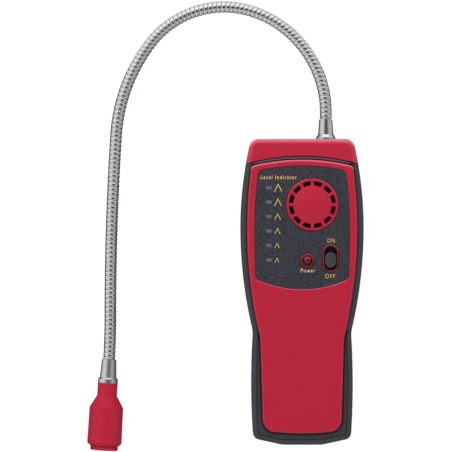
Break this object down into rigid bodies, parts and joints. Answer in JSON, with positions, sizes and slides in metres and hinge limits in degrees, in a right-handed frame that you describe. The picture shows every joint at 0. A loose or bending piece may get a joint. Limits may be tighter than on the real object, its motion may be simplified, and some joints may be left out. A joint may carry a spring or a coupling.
{
  "type": "gas detector",
  "caption": "Hand-held combustible gas detector: a waisted case with a sounder grille, level windows and a slide switch, and a ridged gooseneck from its top end that carries a round probe.",
  "frame": {"origin": "centre of the case's flat back, which the detector lies on", "axes": "+Z out of the front panel, +Y towards the neck, +X to the right seen from the front"},
  "size_m": [0.1475, 0.2405, 0.0346],
  "materials": {
    "grip_plastic": "fine satin texture",
    "red_plastic": "smooth moulded red plastic",
    "grip_rubber": "soft matte rubber",
    "label": "satin printed film",
    "window": "frosted clear plastic",
    "lamp": "small lamps",
    "red_lens": "red tinted lens",
    "black_plastic": "moulded black",
    "board": "green solder mask",
    "cell": "sleeved steel can",
    "contact_metal": "nickel-plated strip",
    "screw_steel": "zinc-plated",
    "chrome": "polished plating",
    "neck_steel": "plated winding",
    "switch_plastic": "satin dark grey",
    "lead_rubber": "soft sleeve",
    "screen_steel": "stamped steel"
  },
  "bodies": {
    "case": {"rear_shell": "grip_plastic", "front_shell": "red_plastic", "side_grip": "grip_rubber", "top_cap": "red_plastic", "panel_overlay": "label", "level_light_pipe": "window", "level_lamps": "lamp", "power_lamp": "red_lens", "switch_body": "black_plastic", "circuit_board": "board", "controller_chip": "black_plastic", "lead_socket": "black_plastic", "sounder": "black_plastic", "cell_left": "cell", "cell_middle": "cell", "cell_right": "cell", "contact_upper_terminal": "contact_metal", "contact_upper_bridge": "contact_metal", "contact_lower_bridge": "contact_metal", "contact_lower_terminal": "contact_metal", "case_screws": "screw_steel", "board_screws": "screw_steel", "neck_ferrule": "chrome", "neck_nut": "screw_steel"},
    "switch": {"switch_slider": "switch_plastic"},
    "door": {"battery_door": "grip_plastic"},
    "neck": {"neck_core": "neck_steel", "neck_coil": "neck_steel", "sensor_lead": "lead_rubber", "probe_ferrule": "chrome", "probe_housing": "red_plastic", "probe_ring": "red_plastic", "probe_screen": "screen_steel", "sensor_can": "screen_steel", "sensor_base": "black_plastic"}
  },
  "joints": [
    {"name": "switch_slide", "type": "slide", "parent": "case", "child": "switch", "axis": [0, 1, 0], "range_m": [0, 0.002]},
    {"name": "door_slide", "type": "slide", "parent": "case", "child": "door", "axis": [0, -1, 0], "range_m": [0, 0.07]},
    {"name": "neck_swing", "type": "hinge", "parent": "case", "child": "neck", "pos_m": [0.01285, 0.0864, 0.017], "axis": [0, 1, 0], "range_deg": [0, 180]}
  ]
}
